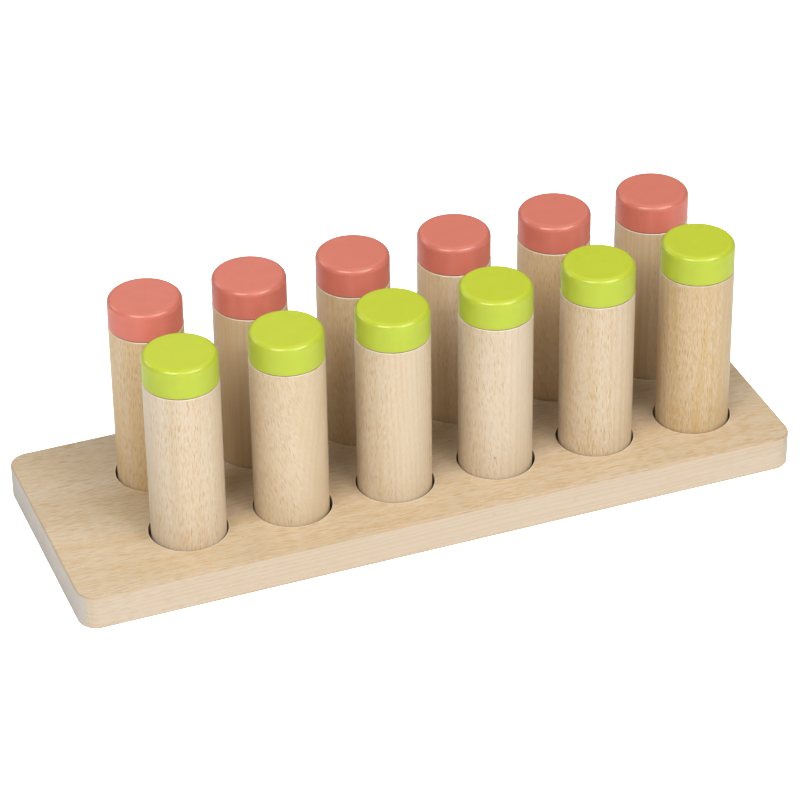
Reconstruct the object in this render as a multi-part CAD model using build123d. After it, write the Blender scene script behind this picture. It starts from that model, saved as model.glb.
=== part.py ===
from build123d import *
import math
import os

# Sound box: twelve closed beech cylinders with painted caps stand in two rows of sockets in a
# beech board. Each holds a loose filling, and each kind of filling is made once for either row.
# Millimetres. X runs along the board, Y from the front row to the back row, Z up.
# The origin is the centre of the board's underside.

# Board
board_thickness = 20.0
board_corner_radius = 10.5
board_edge_round = 1.2
side_margin = 41.5
narrow_end_margin = 42.5
wide_end_margin = 71.0

# Sockets in the board
row_names = ("green", "coral")
cylinders_per_row = 6
socket_pitch = 58.0
socket_depth = 12.0
socket_play = 1.0
socket_bevel = 0.4

# Where each cylinder stands in its socket, along X and Y, as shares of the play
rest_shares = {
    "green": ((0.1, -0.5), (-0.5, -0.3), (-0.3, -0.4), (-0.4, -0.3), (-0.1, -0.5), (-0.2, -0.3)),
    "coral": ((-0.1, -0.5), (-0.6, -0.1), (-0.5, -0.1), (-0.6, 0.2), (-0.2, 0.3), (-0.5, 0.1)),
}

# Tube: a turned cylinder, bored from the top down to a closed floor
tube_diameter = 40.0
tube_above_board = 93.5
tube_wall = 5.5
tube_floor = 8.0
tube_rim_bevel = 0.6
tube_foot_bevel = 1.0

# Cap: a painted disc with a spigot that plugs the tube's bore
cap_height = 16.5
cap_inset = 0.15
cap_top_round = 3.0
cap_lower_bevel = 0.4
spigot_length = 10.0
spigot_clearance = 0.1
spigot_bevel = 1.0

# Fillings: loose_gap is the air around each loose piece
loose_gap = 0.2
sand_depth = 9.0
sand_crown_radius = 70.0
rice_length = 6.6
rice_radius = 1.1
rice_layers = 4
lentil_diameter = 6.0
lentil_thickness = 2.8
lentil_layers = 2
bead_diameter = 8.0
bead_hole_diameter = 2.4
ball_diameter = 6.0
pebble_diameter = 9.0
pebble_height = 6.4
pebble_round_share = 0.45

# A sunflower pattern keeps its pieces apart when its spread is this share of a piece
sunflower_share = 0.65

# Cutters reach past the face that they open by this much
overrun = 1.0

# Sizes that follow from the ones above
board_length = wide_end_margin + (cylinders_per_row - 1) * socket_pitch + narrow_end_margin
board_width = 2 * side_margin + socket_pitch
tube_radius = tube_diameter / 2
tube_length = socket_depth + tube_above_board
bore_radius = tube_radius - tube_wall
socket_radius = tube_radius + socket_play
socket_floor = board_thickness - socket_depth
first_socket_x = wide_end_margin - board_length / 2
row_y = {"green": -socket_pitch / 2, "coral": socket_pitch / 2}
floor_level = socket_floor + tube_floor
golden_turn = math.pi * (3 - math.sqrt(5))


def turned(outline):
    """A solid turned about Z from its half outline, given as points of radius and height."""
    return revolve(make_face(Plane.XZ * Polyline(*outline, close=True)), Axis.Z)


def grid_places():
    """Row name, number and socket centre of each cylinder."""
    for row in row_names:
        for index in range(cylinders_per_row):
            yield row, index + 1, first_socket_x + index * socket_pitch, row_y[row]


def resting_place(row, number, x, y):
    """Where the cylinder's axis stands, a little off the middle of its socket."""
    shares = rest_shares[row]
    share_x, share_y = shares[(number - 1) % len(shares)]
    return x + share_x * socket_play, y + share_y * socket_play


def make_board():
    board = extrude(RectangleRounded(board_length, board_width, board_corner_radius), board_thickness)
    levels = board.faces().sort_by(Axis.Z)
    board = fillet(levels[0].edges() + levels[-1].edges(), board_edge_round)
    socket = turned([
        (0, socket_floor),
        (socket_radius, socket_floor),
        (socket_radius, board_thickness - socket_bevel),
        (socket_radius + socket_bevel, board_thickness),
        (socket_radius + socket_bevel, board_thickness + overrun),
        (0, board_thickness + overrun),
    ])
    for row, number, x, y in grid_places():
        board -= Pos(x, y, 0) * socket
    return board


def make_tube():
    tube = turned([
        (0, 0),
        (tube_radius - tube_foot_bevel, 0),
        (tube_radius, tube_foot_bevel),
        (tube_radius, tube_length - tube_rim_bevel),
        (tube_radius - tube_rim_bevel, tube_length),
        (bore_radius, tube_length),
        (bore_radius, tube_floor),
        (0, tube_floor),
    ])
    return Pos(0, 0, socket_floor) * tube


def make_cap():
    """The disc rests on the tube's rim and the spigot hangs in the bore."""
    disc_radius = tube_radius - cap_inset
    spigot_radius = bore_radius - spigot_clearance
    cap = turned([
        (0, -spigot_length),
        (spigot_radius - spigot_bevel, -spigot_length),
        (spigot_radius, spigot_bevel - spigot_length),
        (spigot_radius, 0),
        (disc_radius - cap_lower_bevel, 0),
        (disc_radius, cap_lower_bevel),
        (disc_radius, cap_height),
        (0, cap_height),
    ])
    cap = fillet(cap.faces().sort_by(Axis.Z)[-1].edges(), cap_top_round)
    return Pos(0, 0, socket_floor + tube_length) * cap


def in_ring(piece, size):
    """Round pieces on the tube's floor: a ring against the wall, and one in the middle."""
    ring_radius = bore_radius - size / 2 - loose_gap
    count = int(math.pi / math.asin((size + loose_gap) / (2 * ring_radius)))
    places = [Rot(0, 0, index * 360 / count) * Pos(ring_radius, 0, 0) for index in range(count)]
    if ring_radius > size + loose_gap:
        places.append(Pos(0, 0, 0))
    return [place * piece.solid() for place in places]


def in_layers(piece, size, layers, layer_height):
    """Stacks of small pieces in a sunflower pattern, each stack turned its own way."""
    spread = sunflower_share * (size + loose_gap)
    room = bore_radius - size / 2 - loose_gap
    count = int((room / spread) ** 2 + 0.5)
    pieces = []
    for layer in range(layers):
        for index in range(count):
            angle = math.degrees(index * golden_turn)
            place = Rot(0, 0, angle) * Pos(spread * math.sqrt(index + 0.5), 0, layer * layer_height)
            pieces.append(place * piece.solid())
    return pieces


def make_sand():
    bed = extrude(Circle(bore_radius - loose_gap), sand_depth)
    crown = Pos(0, 0, sand_depth - sand_crown_radius) * Sphere(sand_crown_radius)
    return [(bed & crown).solid()], sand_depth


def make_rice():
    """Each grain is a round rod with round ends, lying flat."""
    half_straight = rice_length / 2 - rice_radius
    grain = Rot(90, 0, 0) * Cylinder(rice_radius, 2 * half_straight)
    for end in (-half_straight, half_straight):
        grain += Pos(0, end, 0) * Sphere(rice_radius)
    grain = Pos(0, 0, rice_radius + loose_gap) * grain
    layer_height = 2 * rice_radius + loose_gap
    return in_layers(grain, rice_length, rice_layers, layer_height), rice_layers * layer_height


def make_lentils():
    """Each lentil is the lens that two equal balls share."""
    half_thickness = lentil_thickness / 2
    curve_radius = (lentil_diameter ** 2 / 4 + half_thickness ** 2) / (2 * half_thickness)
    shift = curve_radius - half_thickness
    lentil = Pos(0, 0, shift) * Sphere(curve_radius) & Pos(0, 0, -shift) * Sphere(curve_radius)
    lentil = Pos(0, 0, half_thickness + loose_gap) * lentil
    layer_height = lentil_thickness + loose_gap
    return in_layers(lentil, lentil_diameter, lentil_layers, layer_height), lentil_layers * layer_height


def make_beads():
    bead = Sphere(bead_diameter / 2) - Rot(90, 0, 0) * Cylinder(bead_hole_diameter / 2, bead_diameter)
    bead = Pos(0, 0, bead_diameter / 2 + loose_gap) * bead
    return in_ring(bead, bead_diameter), bead_diameter + loose_gap


def make_balls():
    ball = Pos(0, 0, ball_diameter / 2 + loose_gap) * Sphere(ball_diameter / 2)
    return in_ring(ball, ball_diameter), ball_diameter + loose_gap


def make_pebbles():
    pebble = Cylinder(pebble_diameter / 2, pebble_height)
    pebble = fillet(pebble.edges().filter_by(GeomType.CIRCLE), pebble_round_share * pebble_height)
    pebble = Pos(0, 0, pebble_height / 2 + loose_gap) * pebble
    return in_ring(pebble, pebble_diameter), pebble_height + loose_gap


# The filling of cylinder 1, 2, 3 and so on, the same in both rows
filling_kinds = {
    "sand": make_sand,
    "rice": make_rice,
    "lentils": make_lentils,
    "wooden_beads": make_beads,
    "steel_balls": make_balls,
    "pebbles": make_pebbles,
}


def main():
    os.makedirs("parts", exist_ok=True)
    export_step(make_board(), "parts/base_board.step")
    tube = make_tube()
    cap = make_cap()
    fillings = [(name, make()) for name, make in filling_kinds.items()]
    room = tube_length - tube_floor - spigot_length
    for row, number, socket_x, socket_y in grid_places():
        x, y = resting_place(row, number, socket_x, socket_y)
        name, (pieces, height) = fillings[(number - 1) % len(fillings)]
        filling = Compound([Pos(x, y, floor_level) * piece for piece in pieces])
        export_step(Pos(x, y, 0) * tube, f"parts/{row}_tube_{number}.step")
        export_step(Pos(x, y, 0) * cap, f"parts/{row}_cap_{number}.step")
        export_step(filling, f"parts/{row}_{name}_{number}.step")
        print(row, number, name, "can rise", round(room - height - loose_gap, 1))
    top = socket_floor + tube_length + cap_height
    print("board", board_length, board_width, "top", top, "lift to clear", top - socket_floor)


main()
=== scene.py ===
import math

import bpy
from mathutils import Euler, Matrix, Vector


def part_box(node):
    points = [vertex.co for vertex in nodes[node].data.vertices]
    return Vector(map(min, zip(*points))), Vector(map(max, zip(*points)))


# Sound box in its studio. The board and the tubes are beech, the caps are painted wood, and each
# closed tube holds its own loose filling. Metres. X runs along the board, Y from the front row to
# the back row, Z up.
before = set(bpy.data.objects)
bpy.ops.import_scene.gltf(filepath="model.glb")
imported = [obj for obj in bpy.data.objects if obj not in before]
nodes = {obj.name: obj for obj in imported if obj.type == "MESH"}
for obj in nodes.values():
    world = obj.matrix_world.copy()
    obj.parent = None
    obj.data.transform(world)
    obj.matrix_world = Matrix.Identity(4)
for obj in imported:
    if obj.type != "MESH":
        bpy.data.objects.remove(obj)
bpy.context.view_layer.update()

mm = 0.001

# Camera, as the photograph was taken: its place, the ways it is turned in radians, its lens and film
# in millimetres, and how near and far it sees
camera_place = Vector((-0.5597155, -1.4871245, 1.1022342))
camera_turn = -0.35976
camera_pitch = 0.58497
camera_roll = -0.01396
camera_lens = 159.753
film_width = 36.0
nearest_seen = 0.1
farthest_seen = 50

# Below 1, this darkens the picture's shades
picture_gamma = 0.85

# Rows, cylinders and the sockets that they stand in
row_names = ("green", "coral")
cylinders_per_row = 6
socket_pitch = 58 * mm
first_socket_x = -130.75 * mm
socket_radius = 21 * mm
rim_width = 0.9 * mm

# The seam where a cap sits on its tube: how high it is, and the painted shade in its groove: where its
# dark line starts and ends below and above that, and how dark it is
seam_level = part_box("green_tube_1")[1].z
seam_below = (0.35 * mm, 0.10 * mm)
seam_above = (0.05 * mm, 0.40 * mm)
seam_shade_brown = (0.16, 0.09, 0.05)
seam_shade_share = 0.8

# Studio: each lamp stands round the middle of the board, so many degrees to the right of the front
# and so many degrees up. Its distance, width and height are in metres, and its power is in watts.
lamp_target = Vector((0, 0, 0.05))
lamp_colour = (1.0, 1.0, 1.0)
softbox = {"away": 4.0, "width": 2.2, "height": 1.8}
strip = {"away": 3.0, "width": 2.6, "height": 0.15}
lamps = {
    "left_softbox": {"turn": -50, "rise": 46, "power": 96, **softbox},
    "right_softbox": {"turn": 35, "rise": 50, "power": 84, **softbox},
    "front_softbox": {"turn": 10, "rise": 31, "power": 32, **softbox},
    "high_softbox": {"turn": -5, "rise": 58, "power": 27, **softbox},
    "back_softbox": {"turn": 180, "rise": 40, "power": 10, **softbox},
    "back_left_softbox": {"turn": -135, "rise": 30, "power": 32, **softbox},
    "back_right_softbox": {"turn": 135, "rise": 60, "power": 18, **softbox},
    "overhead_strip": {"turn": 0, "rise": 78, "power": 3, **strip},
}

# The dome's light, and how bright gloss mirrors it
dome_strength = 0.03
dome_sheen = 0.22

# Floor paper: a matt sheet with faint fibres, which glows white for the camera
floor_half_width = 12.0
floor_shade = 0.90
floor_glow = 1.0
paper_fibre_size = 2 * mm
paper_fibre_shade = 0.9
paper_fibre_share = 0.02
paper_roughness = 0.9
paper_gloss = 0.1

# Beech: its colours, as the light that bare wood sends back. Quarter is a side that crosses the rings,
# and arris is a rubbed edge. The end grain's colour holds a painted sheen, a cool grey; the rim is
# freshly cut wood with a painted highlight; and the inside of a socket is painted shade.
beech_light = (0.665, 0.60, 0.515)
beech_pale = (0.64, 0.56, 0.455)
beech_warm = (0.555, 0.44, 0.30)
beech_golden = (0.65, 0.465, 0.225)
beech_fleck = (0.52, 0.355, 0.18)
beech_quarter = (0.63, 0.56, 0.47)
beech_end_and_sheen = (0.613, 0.574, 0.527)
beech_rim_and_highlight = (0.74, 0.64, 0.51)
beech_socket_shade = (0.22, 0.15, 0.09)
beech_arris = (0.56, 0.36, 0.19)
board_quarter = (0.645, 0.56, 0.475)
speck_black = (0.06, 0.05, 0.045)
sap_grey = (0.38, 0.38, 0.38)
knot_brown = (0.42, 0.24, 0.11)

# How far a golden blank takes the pale, the warm and the quarter colour towards golden
pale_to_golden = 0.45
warm_to_golden = 0.75
quarter_to_golden = 0.60

# Painted shade on rounded edges: how much of what is under it a rounded edge keeps, in red, green and blue
beech_rounding_shade = (0.78, 0.75, 0.71)
paint_rounding_shade = (0.91, 0.91, 0.91)

# The beech's gloss, and how deep its grain is
beech_gloss = 0.45
grain_depth = 0.03 * mm
grain_strength = 0.15

# Where along the tree the pieces are cut: the board's number, the number before the first tube's,
# and how many metres lie between one number and the next
board_cut = 3
cut_before_tubes = 30
cut_spacing = 1.93

# Paint: its colours, its gloss, and how much more it shines on the rounding, which hands polish. The sides'
# colours differ from the tops' as painted light, for how the lamps light the sides.
green_paint_colour = (0.490, 0.545, 0.045)
green_paint_side_painted_light = (0.470, 0.545, 0.064)
coral_paint_colour = (0.595, 0.200, 0.149)
coral_paint_side_painted_light = (0.672, 0.220, 0.172)
paint_mottle = (0.955, 0.965, 0.92)
paint_gloss = 0.25
paint_polish = 0.50
handling_polish = 0.50
polish_roughness = 0.22
paint_sheen = 0.06
paint_sheen_roughness = 0.4
paint_depth = 0.02 * mm
paint_strength = 0.30

# Small dark marks in the board's beech: how far along X, Y and Z, and how far across, in millimetres
board_marks = (
    (-107.0, -47.8, 20.0, 0.55),
    (-88.7, -54.2, 20.0, 0.40),
    (-45.4, -42.4, 20.0, 0.45),
)
# Faint grey shadows of sap on its front face, and a small pin knot low on one tube
board_shadows = (
    (72.0, -70.5, 11.3, 2.2),
    (25.3, -70.5, 13.9, 1.4),
)
tube_knot = {"row": "green", "number": 4, "place": (35.2, -47.8, 33.4), "across": 1.5}

# The board's blank of wood, and how many degrees its grain leans off the board's length
board_lean = -3
board_blank = {
    "pith": 240, "tone": 0.38, "flecks": 1.4, "bands": 0.36, "clouds": 0.36, "streaks": 1.2,
    "shade": 0.92, "quarter": board_quarter, "quarter_share": 0.5,
}

# Each tube's own blank of wood. Turn is the way from its middle to the heart of the tree, in
# degrees round the tube, lean is how far the grain leans off the tube's axis, and pith is how many
# millimetres away the heart is. Tone runs from pale at 0 to golden at 1. Flecks, bands, clouds and
# streaks are the strength of the rays, the growth rings, the slow changes and the short fibres.
# Shade is how light the blank is as a whole, and quarter_share how far its sides take their colour.
# What a tube's blank doesn't say is as in any_tube.
any_tube = {"clouds": 0.45, "streaks": 1.1, "shade": 1.0, "quarter_share": 0.35}
blanks = {
    "green": (
        {"turn": -110, "lean": 0.5, "pith": 70, "tone": 0.08, "flecks": 1.2, "bands": 0.15, "shade": 1.03},
        {"turn": -150, "lean": 12.0, "pith": 60, "tone": 0.46, "flecks": 1.2, "bands": 0.15, "shade": 0.98},
        {"turn": -165, "lean": -5.0, "pith": 90, "tone": 0.25, "flecks": 1.1, "bands": 0.25},
        {"turn": -150, "lean": 4.5, "pith": 80, "tone": 0.14, "flecks": 1.0, "bands": 0.20},
        {"turn": -140, "lean": 0.5, "pith": 70, "tone": 0.28, "flecks": 1.4, "bands": 0.35, "shade": 0.98},
        {"turn": -125, "lean": 1.0, "pith": 45, "tone": 0.85, "flecks": 1.6, "bands": 1.30, "shade": 0.92,
         "streaks": 2.2},
    ),
    "coral": (
        {"turn": -120, "lean": 1.0, "pith": 60, "tone": 1.05, "flecks": 1.6, "bands": 0.40},
        {"turn": -60, "lean": 1.0, "pith": 80, "tone": 0.80, "flecks": 0.9, "bands": 0.45, "shade": 0.98},
        {"turn": -110, "lean": 1.5, "pith": 70, "tone": 0.75, "flecks": 1.0, "bands": 0.40},
        {"turn": -90, "lean": 1.5, "pith": 90, "tone": 0.55, "flecks": 0.9, "bands": 0.35, "shade": 1.10},
        {"turn": -120, "lean": 1.0, "pith": 60, "tone": 0.70, "flecks": 1.0, "bands": 0.35, "shade": 1.07},
        {"turn": -60, "lean": 1.5, "pith": 80, "tone": 0.65, "flecks": 0.9, "bands": 0.45, "shade": 1.03},
    ),
}

# Fillings of cylinder 1, 2, 3 and so on: their material, its light and dark colours, the size of its
# speckles and the depth of its skin. Metal and polish run from 0 to 1.
fillings = {
    "sand": {
        "name": "sand", "light": (0.78, 0.64, 0.44), "dark": (0.40, 0.28, 0.17),
        "size": 0.6 * mm, "depth": 0.25 * mm,
    },
    "rice": {
        "name": "rice", "light": (0.86, 0.82, 0.72), "dark": (0.70, 0.64, 0.50),
        "size": 2.0 * mm, "depth": 0.05 * mm,
    },
    "lentils": {
        "name": "lentils", "light": (0.56, 0.24, 0.08), "dark": (0.26, 0.12, 0.05),
        "size": 1.1 * mm, "depth": 0.06 * mm,
    },
    "wooden_beads": {
        "name": "bead beech", "light": (0.78, 0.60, 0.40), "dark": (0.60, 0.40, 0.22),
        "size": 1.8 * mm, "depth": 0.05 * mm,
    },
    "steel_balls": {
        "name": "steel", "light": (0.64, 0.65, 0.67), "dark": (0.50, 0.51, 0.53),
        "size": 2.5 * mm, "depth": 0.01 * mm, "metal": 1.0, "polish": 0.65,
    },
    "pebbles": {
        "name": "pebble stone", "light": (0.50, 0.48, 0.45), "dark": (0.20, 0.19, 0.18),
        "size": 0.7 * mm, "depth": 0.12 * mm,
    },
}

# A noise's values lie about its middle
noise_middle = 0.5


class Recipe:
    """A material or an effect in the making: puts in nodes and joins them up."""

    def __init__(self, tree):
        self.tree = tree

    def add(self, kind, inputs=None, **settings):
        node = self.tree.nodes.new("ShaderNode" + kind)
        for name, value in settings.items():
            setattr(node, name, value)
        for name, value in (inputs or {}).items():
            self.join(value, node.inputs[name])
        return node

    def join(self, value, socket):
        if isinstance(value, bpy.types.NodeSocket):
            self.tree.links.new(value, socket)
        elif socket.type == "RGBA":
            socket.default_value = (*value, 1.0)
        else:
            socket.default_value = value

    def math(self, operation, *values, clamp=False):
        node = self.add("Math", operation=operation, use_clamp=clamp)
        for value, socket in zip(values, node.inputs):
            self.join(value, socket)
        return node.outputs[0]

    def plus(self, first, second):
        return self.math("ADD", first, second)

    def minus(self, first, second):
        return self.math("SUBTRACT", first, second)

    def times(self, first, second):
        return self.math("MULTIPLY", first, second)

    def length(self, first, second):
        """The long side of a right-angled triangle with these two short ones."""
        return self.math("SQRT", self.plus(self.times(first, first), self.times(second, second)))

    def vector(self, operation, *values):
        node = self.add("VectorMath", operation=operation)
        for value, socket in zip(values, node.inputs):
            self.join(value, socket)
        return node.outputs["Value" if operation == "DISTANCE" else "Vector"]

    def stretch(self, vector, size):
        """The vector measured in the lengths of size, along X, Y and Z."""
        x, y, z = size
        return self.vector("MULTIPLY", vector, (1 / x, 1 / y, 1 / z))

    def parts(self, vector):
        return self.add("SeparateXYZ", {"Vector": vector}).outputs

    def from_parts(self, x, y, z):
        return self.add("CombineXYZ", {"X": x, "Y": y, "Z": z}).outputs[0]

    def share_along(self, vector, axis):
        """How much of the vector points along an axis, either way."""
        return self.math("ABSOLUTE", self.parts(vector)[axis])

    def rise(self, value, low, high, start=0.0, end=1.0):
        """A smooth way from start to end as the value goes from low to high."""
        inputs = {"Value": value, "From Min": low, "From Max": high, "To Min": start, "To Max": end}
        return self.add("MapRange", inputs, interpolation_type="SMOOTHSTEP").outputs[0]

    def fall(self, value, low, high):
        """A smooth way from 1 to 0 as the value goes from low to high."""
        return self.rise(value, low, high, 1.0, 0.0)

    def tint(self, share, under, over, how="MIX"):
        """One colour laid over another. A Mix node's colours are its inputs 6 and 7 and output 2."""
        node = self.add("Mix", data_type="RGBA", blend_type=how)
        self.join(share, node.inputs[0])
        self.join(under, node.inputs[6])
        self.join(over, node.inputs[7])
        return node.outputs[2]

    def noise(self, vector, scale=1.0, detail=2.0, rough=0.5):
        inputs = {"Vector": vector, "Scale": scale, "Detail": detail, "Roughness": rough}
        return self.add("TexNoise", inputs).outputs

    def drift(self, vector, size, reach):
        """A soft push to and fro, with waves of this size, that reaches this far from end to end."""
        push = self.noise(self.stretch(vector, size), detail=1.0)["Color"]
        push = self.vector("SUBTRACT", push, (noise_middle, noise_middle, noise_middle))
        return self.vector("MULTIPLY", push, reach)

    def cells(self, vector, scatter=1.0):
        inputs = {"Vector": vector, "Scale": 1.0, "Randomness": scatter}
        return self.add("TexVoronoi", inputs).outputs

    def dashes(self, place, shift, finer, empty):
        """Short dashes in stretched cells. Empty is the share of the cells without one."""
        dash_scatter = 0.8
        dash_edge = (0.20, 0.34)
        moved = self.vector("ADD", self.vector("MULTIPLY", place, finer), shift)
        cell = self.cells(moved, dash_scatter)
        shape = self.fall(cell["Distance"], *dash_edge)
        strength = self.rise(self.parts(cell["Color"])[0], empty, 1.0)
        return self.times(shape, strength)

    def effect(self, group, **inputs):
        node = self.add("Group", node_tree=group)
        for name, value in inputs.items():
            self.join(value, node.inputs[name.replace("_", " ")])
        return node.outputs


def new_effect(name, inputs, outputs):
    """An empty node group with its sockets: returns it with its recipe, its inputs and its end node."""
    kinds = {"value": "NodeSocketFloat", "vector": "NodeSocketVector", "colour": "NodeSocketColor"}
    group = bpy.data.node_groups.new(name, "ShaderNodeTree")
    for label, kind in inputs.items():
        group.interface.new_socket(label, in_out="INPUT", socket_type=kinds[kind])
    for label, kind in outputs.items():
        group.interface.new_socket(label, in_out="OUTPUT", socket_type=kinds[kind])
    start = group.nodes.new("NodeGroupInput")
    end = group.nodes.new("NodeGroupOutput")
    return group, Recipe(group), start.outputs, end.inputs


def make_beech_figure():
    """Beech as a solid block. X runs out from the heart of the tree, Y along the growth rings and
    Z along the grain, so that each face shows its own cut: flecks where a face lies along the
    rings, long bands where it crosses them, and fine lines on the end grain."""
    inputs = {
        "Place": "vector", "Facing": "vector", "Pith": "value", "Fleck Length": "value",
        "Fleck Width": "value", "Pale": "colour", "Warm": "colour", "Quarter": "colour",
        "Fleck": "colour", "End": "colour", "Flecks": "value", "Bands": "value", "Clouds": "value",
        "Streaks": "value", "Quarter Share": "value",
    }
    outputs = {"Colour": "colour", "Roughness": "value", "Height": "value"}
    group, made, given, result = new_effect("beech figure", inputs, outputs)

    # The tree's slow wander and a quick ripple, which bend the rings and the rays with the fibres
    wander_size = (60 * mm, 60 * mm, 170 * mm)
    wander_reach = (4.4 * mm, 4.4 * mm, 0)
    ripple_size = (9 * mm, 3 * mm, 5 * mm)
    ripple_reach = (0.4 * mm, 0.5 * mm, 0)
    wander = made.drift(given["Place"], wander_size, wander_reach)
    ripple = made.drift(given["Place"], ripple_size, ripple_reach)
    place = made.vector("ADD", made.vector("ADD", given["Place"], wander), ripple)
    x, y, z = made.parts(place)

    # Growth rings: each darkens slowly to its late wood and then starts pale again
    ring_width = 2.6 * mm
    rings_alike = 3
    ring_unevenness = 2.4
    darkening = (0.25, 0.86)
    paling = (0.88, 1.0)
    fading_size = (5 * mm, 5 * mm, 60 * mm)
    fading_range = (0.30, 0.65)
    faded = 0.25
    radius = made.length(made.plus(x, given["Pith"]), y)
    slow_radius = made.times(radius, 1 / (rings_alike * ring_width))
    uneven = made.noise(made.from_parts(slow_radius, 0.0, 0.0), detail=1.0)[0]
    rings = made.plus(made.times(radius, 1 / ring_width), made.times(uneven, ring_unevenness))
    ring = made.math("FRACT", rings)
    late = made.times(made.rise(ring, *darkening), made.fall(ring, *paling))
    fading = made.noise(made.stretch(given["Place"], fading_size), detail=1.0)[0]
    late = made.times(late, made.rise(fading, *fading_range, faded, 1.0))

    # Rays: thin upright sheets that run out from the heart, seen on edge as flecks. Beside them run
    # finer and paler ones. The sides that cross the rings have small faint dashes of their own.
    ray_reach = 30 * mm
    patch_size = 24 * mm
    patch_range = (0.34, 0.62)
    thin_patch = 0.75
    along = made.math("DIVIDE", z, given["Fleck Length"])
    across = made.math("DIVIDE", y, given["Fleck Width"])
    side_across = made.math("DIVIDE", x, given["Fleck Width"])
    ray_place = made.from_parts(made.times(x, 1 / ray_reach), across, along)
    side_place = made.from_parts(made.times(y, 1 / ray_reach), side_across, along)
    big = made.dashes(ray_place, shift=(0, 0, 0), finer=(1, 1, 1), empty=0.10)
    fine = made.dashes(ray_place, shift=(2.4, 8.2, 4.3), finer=(1.7, 1.7, 1.5), empty=0.10)
    pale_dash = made.dashes(ray_place, shift=(7.1, 3.3, 5.7), finer=(1.2, 1.4, 1.2), empty=0.15)
    side_dash = made.dashes(side_place, shift=(1.9, 6.1, 9.2), finer=(1.2, 1.5, 1.2), empty=0.15)
    patches = made.noise(given["Place"], scale=1 / patch_size, detail=1.0)[0]
    patchy = made.rise(patches, *patch_range, thin_patch, 1.0)

    # Fibres both long and short, clouds and pores
    fibre_size = (0.50 * mm, 0.50 * mm, 13 * mm)
    streak_size = (0.32 * mm, 0.32 * mm, 2.6 * mm)
    cloud_size = (12 * mm, 12 * mm, 160 * mm)
    pore_size = (0.22 * mm, 0.22 * mm, 0.9 * mm)
    fibre = made.noise(made.stretch(place, fibre_size), detail=2.0, rough=0.6)[0]
    streak = made.noise(made.stretch(place, streak_size), detail=1.0, rough=0.6)[0]
    cloud = made.noise(made.stretch(given["Place"], cloud_size), detail=2.0)[0]
    pore = made.noise(made.stretch(place, pore_size), detail=1.0)[0]
    fibre_swing = made.minus(fibre, noise_middle)

    # Which cut the face is: along the rings, across them (the quarter), or the end grain
    quarter_slope = (0.60, 1.0)
    fleck_slope = (0.72, 1.0)
    end_slope = (0.45, 0.9)
    across_rings = made.share_along(given["Facing"], "Y")
    quarter = made.rise(across_rings, *quarter_slope)
    along_rings = made.fall(across_rings, *fleck_slope)
    end = made.rise(made.share_along(given["Facing"], "Z"), *end_slope)

    # How warm the wood is: light below 0, pale at 0 and warm at 1
    usual_warmth = 0.32
    cloud_warmth = 2.4
    fibre_warmth = 1.1
    quarter_bands = 1.8
    lightening = -1.2
    warmth = made.times(made.minus(cloud, noise_middle), made.times(given["Clouds"], cloud_warmth))
    bands = made.times(given["Bands"], made.plus(1.0, made.times(quarter, quarter_bands)))
    warmth = made.plus(warmth, made.times(late, bands))
    warmth = made.plus(warmth, made.times(fibre_swing, fibre_warmth))
    warmth = made.plus(warmth, made.times(made.minus(streak, noise_middle), given["Streaks"]))
    warmth = made.plus(warmth, usual_warmth)
    colour = made.tint(made.math("MAXIMUM", warmth, 0.0, clamp=True), given["Pale"], given["Warm"])
    colour = made.tint(made.math("MULTIPLY", warmth, lightening, clamp=True), colour, beech_light)
    colour = made.tint(made.times(quarter, given["Quarter Share"]), colour, given["Quarter"])

    # The flecks over it, the finer and the paler ones weaker than the big ones
    fine_share = 0.7
    pale_share = 0.8
    side_share = 0.4
    shown = made.times(made.times(patchy, along_rings), given["Flecks"])
    colour = made.tint(made.times(made.times(pale_dash, shown), pale_share), colour, beech_light)
    fleck = made.math("ADD", big, made.times(fine, fine_share), clamp=True)
    colour = made.tint(made.times(fleck, shown), colour, given["Fleck"])
    side_shown = made.times(made.times(quarter, given["Flecks"]), side_share)
    colour = made.tint(made.times(side_dash, side_shown), colour, given["Fleck"])

    # End grain shows its warmth and its flecks only a little, and its colour holds a painted sheen, a cool
    # grey
    end_warmth = 0.30
    end_flecks = 0.12
    end_colour = made.tint(made.times(warmth, end_warmth), given["End"], given["Warm"], "MULTIPLY")
    end_colour = made.tint(made.times(fleck, end_flecks), end_colour, given["Fleck"])
    colour = made.tint(end, colour, end_colour)

    # Fibres and end grain are duller, flecks are smoother and lie a little lower
    usual_roughness = 0.42
    fibre_roughness = 0.16
    fleck_smoothness = 0.04
    end_roughness = 0.06
    dull = made.plus(usual_roughness, made.times(fibre_swing, fibre_roughness))
    dull = made.plus(made.minus(dull, made.times(fleck, fleck_smoothness)), made.times(end, end_roughness))
    streak_height = 0.5
    fleck_dip = 0.4
    pore_height = 0.35
    height = made.minus(made.times(streak, streak_height), made.times(fleck, fleck_dip))
    made.join(colour, result["Colour"])
    made.join(dull, result["Roughness"])
    made.join(made.plus(height, made.times(pore, pore_height)), result["Height"])
    return group


def make_edge_wear():
    """Where a rounded edge turns between level and upright, and where handling has rubbed it."""
    upright_end = (0.12, 0.45)
    level_end = (0.80, 0.98)
    rubbed = (0.42, 0.62)
    inputs = {"Place": "vector", "Facing": "vector", "Grain Size": "value"}
    group, made, given, result = new_effect("edge wear", inputs, {"Worn": "value", "Edge": "value"})
    level = made.share_along(given["Facing"], "Z")
    edge = made.times(made.rise(level, *upright_end), made.fall(level, *level_end))
    spots = made.noise(given["Place"], scale=made.math("DIVIDE", 1.0, given["Grain Size"]), detail=3.0)[0]
    made.join(edge, result["Edge"])
    made.join(made.times(edge, made.rise(spots, *rubbed)), result["Worn"])
    return group


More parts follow.
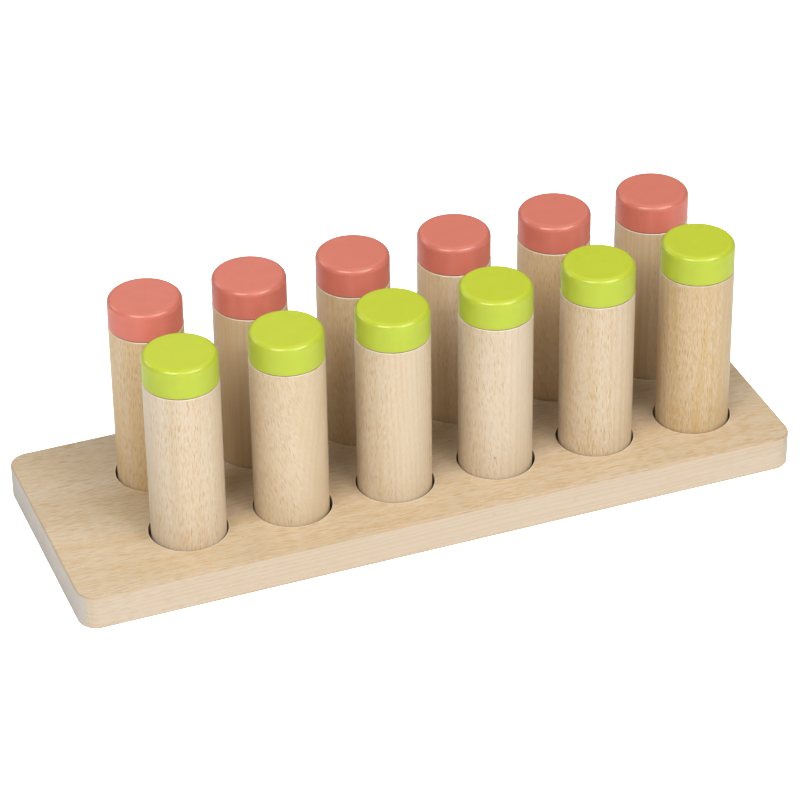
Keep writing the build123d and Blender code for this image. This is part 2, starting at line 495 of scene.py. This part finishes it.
def make_marks(name, marks, blur):
    """Small spots at fixed places, ragged at their edges."""
    ragged_size = 0.8 * mm
    ragged_depth = 0.5 * mm
    group, made, given, result = new_effect(name, {"Place": "vector"}, {"Mark": "value"})
    ragged = made.noise(given["Place"], scale=1 / ragged_size)[0]
    ragged = made.times(made.minus(ragged, noise_middle), ragged_depth)
    total = None
    for x, y, z, across in marks:
        radius = across * mm / 2
        away = made.vector("DISTANCE", given["Place"], (x * mm, y * mm, z * mm))
        away = made.plus(away, ragged)
        spot = made.fall(away, (1 - blur) * radius, (1 + blur) * radius)
        total = spot if total is None else made.math("MAXIMUM", total, spot)
    made.join(total, result["Mark"])
    return group


def make_socket_cut():
    """The board's bored sockets: a rim round each, for its cleanly cut wood and a painted highlight, and
    the wall and the floor inside it, for painted shade. The grid of sockets is folded onto one of them."""
    wall_edge = (socket_radius + 0.02 * mm, socket_radius + 0.12 * mm)
    rim_edge = (socket_radius + 0.5 * rim_width, socket_radius + rim_width)
    floor_slope = (0.4, 0.8)
    grid_start = first_socket_x - socket_pitch / 2
    grid_end = first_socket_x + (cylinders_per_row - 0.5) * socket_pitch
    inputs = {"Place": "vector", "Facing": "vector"}
    outputs = {"Rim": "value", "Wall": "value", "Floor": "value"}
    group, made, given, result = new_effect("socket cut", inputs, outputs)
    x, y = made.parts(given["Place"])[:2]
    from_first = made.plus(x, socket_pitch / 2 - first_socket_x)
    off_x = made.minus(made.math("FLOORED_MODULO", from_first, socket_pitch), socket_pitch / 2)
    off_y = made.minus(made.math("ABSOLUTE", y), socket_pitch / 2)
    away = made.length(off_x, off_y)
    past_start = made.math("GREATER_THAN", x, grid_start)
    before_end = made.math("LESS_THAN", x, grid_end)
    on_grid = made.times(past_start, before_end)
    inside = made.fall(away, *wall_edge)
    near = made.fall(away, *rim_edge)
    made.join(made.times(on_grid, made.minus(near, inside)), result["Rim"])
    level = made.rise(made.share_along(given["Facing"], "Z"), *floor_slope)
    inside = made.times(on_grid, inside)
    made.join(made.times(inside, made.minus(1.0, level)), result["Wall"])
    made.join(made.times(inside, level), result["Floor"])
    return group


def make_paint_skin():
    """Sprayed paint over turned wood: a fine skin, the grain just felt through it, and faint mottling."""
    mottle_size = 9 * mm
    grain_size = (0.8 * mm, 0.8 * mm, 7 * mm)
    skin_size = 0.7 * mm
    side_slope = (0.25, 0.75)
    mottle_share = 0.8
    grain_share = 0.5
    mottle_range = (0.35, 1.0)
    least_roughness = 0.52
    mottle_roughness = 0.10
    skin_roughness = 0.05
    skin_height = 0.5
    grain_height = 0.6
    inputs = {"Place": "vector", "Facing": "vector", "Top": "colour", "Side": "colour"}
    outputs = {"Colour": "colour", "Roughness": "value", "Height": "value"}
    group, made, given, result = new_effect("paint skin", inputs, outputs)
    mottle = made.noise(given["Place"], scale=1 / mottle_size, detail=3.0)[0]
    grain = made.noise(made.stretch(given["Place"], grain_size), detail=2.0)[0]
    skin = made.noise(given["Place"], scale=1 / skin_size, detail=2.0)[0]
    # Painted light: the sides take their own colour, for how the lamps light them
    side = made.fall(made.share_along(given["Facing"], "Z"), *side_slope)
    colour = made.tint(side, given["Top"], given["Side"])
    share = made.plus(made.times(mottle, mottle_share), made.times(grain, grain_share))
    share = made.rise(share, *mottle_range)
    made.join(made.tint(share, colour, paint_mottle, "MULTIPLY"), result["Colour"])
    dull = made.plus(least_roughness, made.times(mottle, mottle_roughness))
    made.join(made.plus(dull, made.times(skin, skin_roughness)), result["Roughness"])
    height = made.plus(made.times(skin, skin_height), made.times(grain, grain_height))
    made.join(height, result["Height"])
    return group


def make_grit():
    """Small speckles and a rough skin for grains, shells, balls and stones."""
    soft_scale = 0.35
    speck_share = 0.6
    soft_share = 0.6
    tone_range = (0.25, 0.95)
    speck_dip = -0.6
    least_roughness = 0.45
    soft_roughness = 0.3
    inputs = {"Place": "vector", "Size": "value", "Light": "colour", "Dark": "colour"}
    outputs = {"Colour": "colour", "Height": "value", "Roughness": "value"}
    group, made, given, result = new_effect("grit", inputs, outputs)
    size = made.from_parts(given["Size"], given["Size"], given["Size"])
    scaled = made.vector("DIVIDE", given["Place"], size)
    speck = made.cells(scaled)
    soft = made.noise(scaled, scale=soft_scale, detail=4.0, rough=0.6)[0]
    tone = made.parts(speck["Color"])[0]
    share = made.plus(made.times(tone, speck_share), made.times(soft, soft_share))
    share = made.rise(share, *tone_range)
    made.join(made.tint(share, given["Light"], given["Dark"]), result["Colour"])
    made.join(made.plus(soft, made.times(speck["Distance"], speck_dip)), result["Height"])
    made.join(made.plus(least_roughness, made.times(soft, soft_roughness)), result["Roughness"])
    return group


beech_figure = make_beech_figure()
edge_wear = make_edge_wear()
paint_skin = make_paint_skin()
grit = make_grit()
socket_cut = make_socket_cut()


def new_material(name):
    """A material with a Principled shader: returns it with its recipe, its shader and its coordinates."""
    material = bpy.data.materials.new(name)
    material.use_nodes = True
    material.node_tree.nodes.clear()
    made = Recipe(material.node_tree)
    shader = made.add("BsdfPrincipled")
    output = made.add("OutputMaterial")
    made.join(shader.outputs[0], output.inputs["Surface"])
    coordinates = made.add("TexCoord").outputs
    return material, made, shader, coordinates


def raise_grain(made, shader, height, depth, strength):
    """Joins a height to the shader as a bump, depth metres deep."""
    bump = made.add("Bump", {"Height": height, "Distance": depth, "Strength": strength})
    made.join(bump.outputs[0], shader.inputs["Normal"])


def beech(name, origin, turn, cut, wood, fleck_length, fleck_width):
    """Beech for one piece. The turn sets the wood's own axes in the piece, cut is its number along
    the tree, and wood says what its blank is like. Returns the material and what the caller needs
    to add marks of its own."""
    material, made, shader, coordinates = new_material(name)
    shift = Vector((0.0, 0.0, cut_spacing * cut))
    local = made.vector("SUBTRACT", coordinates["Object"], origin)
    turned = {"rotation_type": "EULER_XYZ", "invert": True}
    place = made.add("VectorRotate", {"Vector": local, "Rotation": turn}, **turned)
    facing = made.add("VectorRotate", {"Vector": coordinates["Normal"], "Rotation": turn}, **turned)
    golden = Vector(beech_golden)
    figure = made.effect(
        beech_figure, Place=made.vector("ADD", place.outputs[0], shift), Facing=facing.outputs[0],
        Pith=wood["pith"] * mm, Fleck_Length=fleck_length, Fleck_Width=fleck_width, End=beech_end_and_sheen,
        Fleck=beech_fleck, Pale=Vector(beech_pale).lerp(golden, pale_to_golden * wood["tone"]),
        Warm=Vector(beech_warm).lerp(golden, warm_to_golden * wood["tone"]),
        Quarter=wood["quarter"], Quarter_Share=wood["quarter_share"],
        Flecks=wood["flecks"], Bands=wood["bands"], Clouds=wood["clouds"], Streaks=wood["streaks"],
    )
    made.join(figure["Roughness"], shader.inputs["Roughness"])
    shader.inputs["Specular IOR Level"].default_value = beech_gloss
    raise_grain(made, shader, figure["Height"], grain_depth, grain_strength)
    shade = wood["shade"]
    colour = made.tint(1.0, figure["Colour"], (shade, shade, shade), "MULTIPLY")
    return material, made, shader, coordinates, colour


def board_beech():
    """The board's grain runs along X, and its faces above and below lie along the rings."""
    worn_share = 0.45
    rim_and_highlight_share = 0.85
    socket_wall_shade_share = 0.6
    socket_floor_shade_share = 0.12
    speck_share = 0.85
    shadow_share = 0.35
    along_board = Euler((0, math.radians(-90), math.radians(board_lean)), "XYZ")
    material, made, shader, coordinates, colour = beech(
        "board beech", (0, 0, 0), along_board, board_cut, board_blank,
        fleck_length=12 * mm, fleck_width=0.66 * mm)
    place = coordinates["Object"]
    rounding_and_wear = made.effect(edge_wear, Place=place, Facing=coordinates["Normal"], Grain_Size=7 * mm)
    # Painted shade on the rounded edges, then the rubbed arris
    colour = made.tint(rounding_and_wear["Edge"], colour, beech_rounding_shade, "MULTIPLY")
    colour = made.tint(made.times(rounding_and_wear["Worn"], worn_share), colour, beech_arris)
    cut = made.effect(socket_cut, Place=place, Facing=coordinates["Normal"])
    # The sockets' rims: paler cut wood with a painted highlight
    colour = made.tint(made.times(cut["Rim"], rim_and_highlight_share), colour, beech_rim_and_highlight)
    # Painted shade on the sockets' walls and floors
    colour = made.tint(made.times(cut["Wall"], socket_wall_shade_share), colour, beech_socket_shade)
    colour = made.tint(made.times(cut["Floor"], socket_floor_shade_share), colour, beech_socket_shade)
    specks = made.effect(make_marks("board specks", board_marks, blur=0.5), Place=place)
    colour = made.tint(made.times(specks["Mark"], speck_share), colour, speck_black)
    shadows = made.effect(make_marks("board shadows", board_shadows, blur=0.9), Place=place)
    colour = made.tint(made.times(shadows["Mark"], shadow_share), colour, sap_grey)
    made.join(colour, shader.inputs["Base Color"])
    return material


def tube_beech(row, number):
    """A tube's grain runs up it, with a rubbed rim that is paler, partly a painted highlight, painted shade
    in the seam under the cap, and a knot in one.
    """
    worn_share = 0.35
    knot_share = 0.6
    wood = {**any_tube, **blanks[row][number - 1]}
    wood["quarter"] = Vector(beech_quarter).lerp(Vector(beech_golden), quarter_to_golden * wood["tone"])
    low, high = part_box(f"{row}_tube_{number}")
    middle = (low + high) / 2
    turn = Euler((math.radians(wood["lean"]), 0, math.radians(wood["turn"])), "XYZ")
    cut = cut_before_tubes + number
    material, made, shader, coordinates, colour = beech(
        f"{row} tube beech {number}", (middle.x, middle.y, 0), turn, cut, wood,
        fleck_length=7.5 * mm, fleck_width=0.56 * mm)
    place = coordinates["Object"]
    rounding_and_wear = made.effect(edge_wear, Place=place, Facing=coordinates["Normal"], Grain_Size=4 * mm)
    # The rubbed rim: paler wood with a painted highlight
    colour = made.tint(made.times(rounding_and_wear["Worn"], worn_share), colour, beech_rim_and_highlight)
    height = made.parts(place)[2]
    # Painted shade in the groove just under the cap
    seam = made.rise(height, seam_level - seam_below[0], seam_level - seam_below[1])
    colour = made.tint(made.times(seam, seam_shade_share), colour, seam_shade_brown)
    if (row, number) == (tube_knot["row"], tube_knot["number"]):
        knot = make_marks("pin knot", ((*tube_knot["place"], tube_knot["across"]),), blur=0.8)
        spot = made.effect(knot, Place=place)
        colour = made.tint(made.times(spot["Mark"], knot_share), colour, knot_brown)
    made.join(colour, shader.inputs["Base Color"])
    return material


def cap_paint(name, top, side):
    """Paint for a cap: its top colour, its side colour, which is painted light, its polished rounding with
    painted shade on it, and painted shade in the seam below.
    """
    material, made, shader, coordinates = new_material(name)
    place = coordinates["Object"]
    facing = coordinates["Normal"]
    skin = made.effect(paint_skin, Place=place, Facing=facing, Top=top, Side=side)
    rounding_and_wear = made.effect(edge_wear, Place=place, Facing=facing, Grain_Size=1.6 * mm)
    # Painted shade on the rounding
    colour = made.tint(rounding_and_wear["Edge"], skin["Colour"], paint_rounding_shade, "MULTIPLY")
    height = made.parts(place)[2]
    # Painted shade in the groove just above the tube's rim
    seam = made.fall(height, seam_level + seam_above[0], seam_level + seam_above[1])
    colour = made.tint(made.times(seam, seam_shade_share), colour, seam_shade_brown)
    made.join(colour, shader.inputs["Base Color"])
    made.join(skin["Roughness"], shader.inputs["Roughness"])
    polish = made.plus(paint_polish, made.times(rounding_and_wear["Edge"], handling_polish))
    made.join(polish, shader.inputs["Coat Weight"])
    shader.inputs["Specular IOR Level"].default_value = paint_gloss
    shader.inputs["Coat Roughness"].default_value = polish_roughness
    shader.inputs["Sheen Weight"].default_value = paint_sheen
    shader.inputs["Sheen Roughness"].default_value = paint_sheen_roughness
    raise_grain(made, shader, skin["Height"], paint_depth, paint_strength)
    return material


def loose_filling(name, light, dark, size, depth, metal=0.0, polish=0.0):
    """Grains, shells, balls and stones: speckled, and rough at the size given."""
    skin_strength = 0.6
    material, made, shader, coordinates = new_material(name)
    rough = made.effect(grit, Place=coordinates["Object"], Size=size, Light=light, Dark=dark)
    made.join(rough["Colour"], shader.inputs["Base Color"])
    made.join(made.times(rough["Roughness"], 1 - polish), shader.inputs["Roughness"])
    shader.inputs["Metallic"].default_value = metal
    raise_grain(made, shader, rough["Height"], depth, skin_strength)
    return material


def dress(node, material):
    """Gives a piece of the model its finish in all its material slots."""
    piece = nodes[node]
    if not piece.material_slots:
        piece.data.materials.append(material)
    for slot in piece.material_slots:
        slot.link = "OBJECT"
        slot.material = material


def dress_everything():
    dress("base_board", board_beech())
    cap_paints = {
        "green": cap_paint("green paint", green_paint_colour, green_paint_side_painted_light),
        "coral": cap_paint("coral paint", coral_paint_colour, coral_paint_side_painted_light),
    }
    filling_finishes = {kind: loose_filling(**finish) for kind, finish in fillings.items()}
    for row in row_names:
        for number, (kind, finish) in enumerate(filling_finishes.items(), start=1):
            dress(f"{row}_tube_{number}", tube_beech(row, number))
            dress(f"{row}_cap_{number}", cap_paints[row])
            dress(f"{row}_{kind}_{number}", finish)


def make_floor():
    """A plain pale sheet under the board, burnt out to white as in a catalogue picture."""
    half = floor_half_width
    corners = [(-half, -half, 0), (half, -half, 0), (half, half, 0), (-half, half, 0)]
    mesh = bpy.data.meshes.new("studio_floor")
    mesh.from_pydata(corners, [], [(0, 1, 2, 3)])
    floor = bpy.data.objects.new("studio_floor", mesh)
    bpy.context.scene.collection.objects.link(floor)
    material, made, shader, coordinates = new_material("floor paper")
    fibres = made.noise(coordinates["Object"], scale=1 / paper_fibre_size, detail=2.0)[0]
    paper = (floor_shade, floor_shade, floor_shade)
    fibre = [paper_fibre_shade * part for part in paper]
    colour = made.tint(made.times(fibres, paper_fibre_share), paper, fibre)
    made.join(colour, shader.inputs["Base Color"])
    shader.inputs["Roughness"].default_value = paper_roughness
    shader.inputs["Specular IOR Level"].default_value = paper_gloss
    shader.inputs["Emission Color"].default_value = (1, 1, 1, 1)
    seen = made.add("LightPath").outputs["Is Camera Ray"]
    made.join(made.times(seen, floor_glow), shader.inputs["Emission Strength"])
    floor.data.materials.append(material)


def make_dome():
    """White behind the object, a faint even light from all round, and pale walls to mirror."""
    world = bpy.data.worlds.new("studio dome")
    bpy.context.scene.world = world
    world.use_nodes = True
    made = Recipe(world.node_tree)
    ray = made.add("LightPath").outputs
    lit = made.math("MAXIMUM", made.times(ray["Is Glossy Ray"], dome_sheen), dome_strength)
    background = world.node_tree.nodes["Background"]
    made.join((1, 1, 1), background.inputs["Color"])
    made.join(made.math("MAXIMUM", ray["Is Camera Ray"], lit), background.inputs["Strength"])


def make_lamp(name, turn, rise, power, away, width, height):
    turn = math.radians(turn)
    rise = math.radians(rise)
    level = math.cos(rise)
    outward = Vector((math.sin(turn) * level, -math.cos(turn) * level, math.sin(rise)))
    data = bpy.data.lights.new(name, "AREA")
    data.shape = "RECTANGLE"
    data.size = width
    data.size_y = height
    data.color = lamp_colour
    data.energy = power
    lamp = bpy.data.objects.new(name, data)
    lamp.location = lamp_target + away * outward
    lamp.rotation_euler = (-outward).to_track_quat("-Z", "Y").to_euler()
    bpy.context.scene.collection.objects.link(lamp)


def make_camera():
    data = bpy.data.cameras.new("camera")
    data.sensor_width = film_width
    data.lens = camera_lens
    data.clip_start = nearest_seen
    data.clip_end = farthest_seen
    camera = bpy.data.objects.new("camera", data)
    level = Euler((math.pi / 2 - camera_pitch, 0, camera_turn), "XYZ").to_matrix()
    roll = Matrix.Rotation(camera_roll, 3, "Z")
    camera.matrix_world = Matrix.Translation(camera_place) @ (level @ roll).to_4x4()
    bpy.context.scene.collection.objects.link(camera)
    bpy.context.scene.camera = camera


def set_colours():
    """Colours come out as lit, but for a little more contrast in the shade, as on a print."""
    settings = bpy.context.scene.view_settings
    settings.view_transform = "Standard"
    settings.look = "None"
    settings.gamma = picture_gamma


dress_everything()
make_floor()
make_dome()
for lamp_name, lamp_values in lamps.items():
    make_lamp(lamp_name, **lamp_values)
make_camera()
set_colours()
